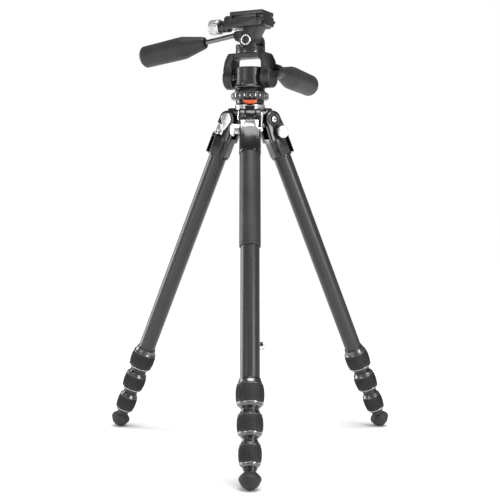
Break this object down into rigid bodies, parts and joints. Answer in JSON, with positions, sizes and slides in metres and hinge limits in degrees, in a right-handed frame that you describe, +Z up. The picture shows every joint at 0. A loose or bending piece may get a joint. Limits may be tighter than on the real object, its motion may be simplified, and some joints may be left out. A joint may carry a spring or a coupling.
{
  "type": "camera tripod with pan head",
  "caption": "Carbon tripod with telescoping twist-lock legs, a sliding centre column and a two-handle pan and tilt head with a quick-release plate.",
  "frame": {"origin": "on the floor under the middle of the bounding box; the column axis stands 59.3 mm behind it", "axes": "+Z up the centre column, -Y towards the front leg (the one with the grip sleeve), +X to the right seen from that leg"},
  "size_m": [0.4394, 0.3847, 0.6295],
  "materials": {
    "carbon_tube": "carbon fibre tube, fine twill weave under satin lacquer",
    "lock_rubber": "ribbed black rubber with a dark polished ring at each end",
    "foot_rubber": "moulded black rubber",
    "sleeve_rubber": "fine-grained matt rubber",
    "handle_rubber": "fine-grained matt rubber",
    "polished_silver": "bright polished",
    "steel": "dark turned steel, bright at its ends",
    "orange_anodised": "orange anodised",
    "anodised_black": "satin black anodised, fine turning lines",
    "black_casting": "fine textured black coating on a die casting"
  },
  "bodies": {
    "spider_base": {"spider": "black_casting", "silver_collar": "polished_silver"},
    "leg_front": {"leg_front_yoke": "black_casting", "leg_front_hinge_bolt": "steel", "leg_front_tube_1": "carbon_tube", "leg_front_grip_sleeve": "sleeve_rubber"},
    "leg_front_button": {"leg_front_angle_button": "polished_silver"},
    "leg_front_lock_1_ring": {"leg_front_lock_1": "lock_rubber"},
    "leg_front_section_2": {"leg_front_tube_2": "carbon_tube"},
    "leg_front_lock_2_ring": {"leg_front_lock_2": "lock_rubber"},
    "leg_front_section_3": {"leg_front_tube_3": "carbon_tube"},
    "leg_front_lock_3_ring": {"leg_front_lock_3": "lock_rubber"},
    "leg_front_section_4": {"leg_front_tube_4": "carbon_tube", "leg_front_foot": "foot_rubber"},
    "leg_right": {"leg_right_yoke": "black_casting", "leg_right_hinge_bolt": "steel", "leg_right_tube_1": "carbon_tube"},
    "leg_right_button": {"leg_right_angle_button": "polished_silver"},
    "leg_right_lock_1_ring": {"leg_right_lock_1": "lock_rubber"},
    "leg_right_section_2": {"leg_right_tube_2": "carbon_tube"},
    "leg_right_lock_2_ring": {"leg_right_lock_2": "lock_rubber"},
    "leg_right_section_3": {"leg_right_tube_3": "carbon_tube"},
    "leg_right_lock_3_ring": {"leg_right_lock_3": "lock_rubber"},
    "leg_right_section_4": {"leg_right_tube_4": "carbon_tube", "leg_right_foot": "foot_rubber"},
    "leg_left": {"leg_left_yoke": "black_casting", "leg_left_hinge_bolt": "steel", "leg_left_tube_1": "carbon_tube"},
    "leg_left_button": {"leg_left_angle_button": "polished_silver"},
    "leg_left_lock_1_ring": {"leg_left_lock_1": "lock_rubber"},
    "leg_left_section_2": {"leg_left_tube_2": "carbon_tube"},
    "leg_left_lock_2_ring": {"leg_left_lock_2": "lock_rubber"},
    "leg_left_section_3": {"leg_left_tube_3": "carbon_tube"},
    "leg_left_lock_3_ring": {"leg_left_lock_3": "lock_rubber"},
    "leg_left_section_4": {"leg_left_tube_4": "carbon_tube", "leg_left_foot": "foot_rubber"},
    "column": {"centre_column": "carbon_tube", "column_head": "black_casting", "orange_index_tab": "orange_anodised", "platform_disc": "black_casting", "bag_hook_boss": "black_casting", "head_base": "black_casting"},
    "column_lock": {"column_lock_knob": "anodised_black"},
    "bag_hook": {"bag_hook_bail": "polished_silver"},
    "pan": {"pan_barrel": "anodised_black"},
    "pan_lock": {"pan_lock_knob": "anodised_black"},
    "tilt": {"tilt_fork": "black_casting", "tilt_shaft": "steel", "side_shaft": "steel"},
    "right_handle": {"right_handle_rod": "steel", "right_handle_neck": "anodised_black", "right_handle_grip": "handle_rubber"},
    "platform": {"platform_clamp_body": "black_casting"},
    "left_handle": {"left_handle_rod": "steel", "left_handle_grip": "handle_rubber"},
    "clamp_screw": {"clamp_knob": "polished_silver"},
    "jaw": {"moving_jaw": "anodised_black"},
    "plate": {"quick_release_plate": "anodised_black"},
    "camera_screw": {"camera_screw": "steel"}
  },
  "joints": [
    {"name": "leg_front_spread", "type": "hinge", "parent": "spider_base", "child": "leg_front", "pos_m": [0, 0.02831, 0.4768], "axis": [-1, 0, 0], "range_deg": [-22, 56]},
    {"name": "leg_front_button_push", "type": "slide", "parent": "leg_front", "child": "leg_front_button", "axis": [1, 0, 0], "range_m": [0, 0.003], "stiffness_N_per_m": 900, "springref_m": -0.001},
    {"name": "leg_front_lock_1_twist", "type": "hinge", "parent": "leg_front", "child": "leg_front_lock_1_ring", "pos_m": [0, 0.02831, 0.4768], "axis": [0, -0.4075, -0.9132], "range_deg": [0, 90]},
    {"name": "leg_front_section_2_slide", "type": "slide", "parent": "leg_front", "child": "leg_front_section_2", "axis": [0, -0.4075, -0.9132], "range_m": [0, 0.27]},
    {"name": "leg_front_lock_2_twist", "type": "hinge", "parent": "leg_front_section_2", "child": "leg_front_lock_2_ring", "pos_m": [0, 0.02831, 0.4768], "axis": [0, -0.4075, -0.9132], "range_deg": [0, 90]},
    {"name": "leg_front_section_3_slide", "type": "slide", "parent": "leg_front_section_2", "child": "leg_front_section_3", "axis": [0, -0.4075, -0.9132], "range_m": [0, 0.27]},
    {"name": "leg_front_lock_3_twist", "type": "hinge", "parent": "leg_front_section_3", "child": "leg_front_lock_3_ring", "pos_m": [0, 0.02831, 0.4768], "axis": [0, -0.4075, -0.9132], "range_deg": [0, 90]},
    {"name": "leg_front_section_4_slide", "type": "slide", "parent": "leg_front_section_3", "child": "leg_front_section_4", "axis": [0, -0.4075, -0.9132], "range_m": [0, 0.27]},
    {"name": "leg_right_spread", "type": "hinge", "parent": "spider_base", "child": "leg_right", "pos_m": [0.02685, 0.07481, 0.4768], "axis": [0.5, -0.866, 0], "range_deg": [-22, 56]},
    {"name": "leg_right_button_push", "type": "slide", "parent": "leg_right", "child": "leg_right_button", "axis": [-0.5, 0.866, 0], "range_m": [0, 0.003], "stiffness_N_per_m": 900, "springref_m": -0.001},
    {"name": "leg_right_lock_1_twist", "type": "hinge", "parent": "leg_right", "child": "leg_right_lock_1_ring", "pos_m": [0.02685, 0.07481, 0.4768], "axis": [0.3529, 0.2038, -0.9132], "range_deg": [0, 90]},
    {"name": "leg_right_section_2_slide", "type": "slide", "parent": "leg_right", "child": "leg_right_section_2", "axis": [0.3529, 0.2038, -0.9132], "range_m": [0, 0.27]},
    {"name": "leg_right_lock_2_twist", "type": "hinge", "parent": "leg_right_section_2", "child": "leg_right_lock_2_ring", "pos_m": [0.02685, 0.07481, 0.4768], "axis": [0.3529, 0.2038, -0.9132], "range_deg": [0, 90]},
    {"name": "leg_right_section_3_slide", "type": "slide", "parent": "leg_right_section_2", "child": "leg_right_section_3", "axis": [0.3529, 0.2038, -0.9132], "range_m": [0, 0.27]},
    {"name": "leg_right_lock_3_twist", "type": "hinge", "parent": "leg_right_section_3", "child": "leg_right_lock_3_ring", "pos_m": [0.02685, 0.07481, 0.4768], "axis": [0.3529, 0.2038, -0.9132], "range_deg": [0, 90]},
    {"name": "leg_right_section_4_slide", "type": "slide", "parent": "leg_right_section_3", "child": "leg_right_section_4", "axis": [0.3529, 0.2038, -0.9132], "range_m": [0, 0.27]},
    {"name": "leg_left_spread", "type": "hinge", "parent": "spider_base", "child": "leg_left", "pos_m": [-0.02685, 0.07481, 0.4768], "axis": [0.5, 0.866, 0], "range_deg": [-22, 56]},
    {"name": "leg_left_button_push", "type": "slide", "parent": "leg_left", "child": "leg_left_button", "axis": [-0.5, -0.866, 0], "range_m": [0, 0.003], "stiffness_N_per_m": 900, "springref_m": -0.001},
    {"name": "leg_left_lock_1_twist", "type": "hinge", "parent": "leg_left", "child": "leg_left_lock_1_ring", "pos_m": [-0.02685, 0.07481, 0.4768], "axis": [-0.3529, 0.2038, -0.9132], "range_deg": [0, 90]},
    {"name": "leg_left_section_2_slide", "type": "slide", "parent": "leg_left", "child": "leg_left_section_2", "axis": [-0.3529, 0.2038, -0.9132], "range_m": [0, 0.27]},
    {"name": "leg_left_lock_2_twist", "type": "hinge", "parent": "leg_left_section_2", "child": "leg_left_lock_2_ring", "pos_m": [-0.02685, 0.07481, 0.4768], "axis": [-0.3529, 0.2038, -0.9132], "range_deg": [0, 90]},
    {"name": "leg_left_section_3_slide", "type": "slide", "parent": "leg_left_section_2", "child": "leg_left_section_3", "axis": [-0.3529, 0.2038, -0.9132], "range_m": [0, 0.27]},
    {"name": "leg_left_lock_3_twist", "type": "hinge", "parent": "leg_left_section_3", "child": "leg_left_lock_3_ring", "pos_m": [-0.02685, 0.07481, 0.4768], "axis": [-0.3529, 0.2038, -0.9132], "range_deg": [0, 90]},
    {"name": "leg_left_section_4_slide", "type": "slide", "parent": "leg_left_section_3", "child": "leg_left_section_4", "axis": [-0.3529, 0.2038, -0.9132], "range_m": [0, 0.27]},
    {"name": "column_slide", "type": "slide", "parent": "spider_base", "child": "column", "axis": [0, 0, 1], "range_m": [0, 0.25]},
    {"name": "column_lock_turn", "type": "hinge", "parent": "spider_base", "child": "column_lock", "pos_m": [0, 0.08431, 0.4768], "axis": [0, 1, 0], "range_deg": [0, 180]},
    {"name": "bag_hook_swing", "type": "hinge", "parent": "column", "child": "bag_hook", "pos_m": [0, 0.05931, 0.148], "axis": [1, 0, 0], "range_deg": [-90, 90]},
    {"name": "pan", "type": "hinge", "parent": "column", "child": "pan", "pos_m": [0, 0.05931, 0.521], "axis": [0, 0, 1], "continuous": true},
    {"name": "pan_lock_turn", "type": "hinge", "parent": "pan", "child": "pan_lock", "pos_m": [0.0118, 0.08248, 0.528], "axis": [0.454, 0.891, 0], "range_deg": [0, 180]},
    {"name": "front_tilt", "type": "hinge", "parent": "pan", "child": "tilt", "pos_m": [0, 0.05931, 0.536], "axis": [0.891, -0.454, 0], "range_deg": [-30, 90]},
    {"name": "right_handle_twist", "type": "hinge", "parent": "tilt", "child": "right_handle", "pos_m": [0.03119, 0.04342, 0.5458], "axis": [0.4529, 0.8888, -0.0698], "range_deg": [0, 180]},
    {"name": "side_tilt", "type": "hinge", "parent": "tilt", "child": "platform", "pos_m": [0, 0.05931, 0.5891], "axis": [0.454, 0.891, 0], "range_deg": [-30, 55]},
    {"name": "left_handle_twist", "type": "hinge", "parent": "platform", "child": "left_handle", "pos_m": [-0.02138, 0.07021, 0.5988], "axis": [-0.8823, 0.4496, -0.1392], "range_deg": [0, 180]},
    {"name": "clamp_knob_turn", "type": "hinge", "parent": "platform", "child": "clamp_screw", "pos_m": [0, 0.05931, 0.6126], "axis": [0.891, -0.454, 0], "range_deg": [0, 1080]},
    {"name": "jaw_slide", "type": "slide", "parent": "platform", "child": "jaw", "axis": [0.891, -0.454, 0], "range_m": [0, 0.003]},
    {"name": "plate_slide", "type": "slide", "parent": "platform", "child": "plate", "axis": [0.454, 0.891, 0], "range_m": [0, 0.06]},
    {"name": "camera_screw_lift", "type": "slide", "parent": "plate", "child": "camera_screw", "axis": [0, 0, 1], "range_m": [0, 0.0045]}
  ],
  "couplings": [
    {"joint": "jaw_slide", "follows": "clamp_knob_turn", "m_per_rad": 0.00015915}
  ]
}
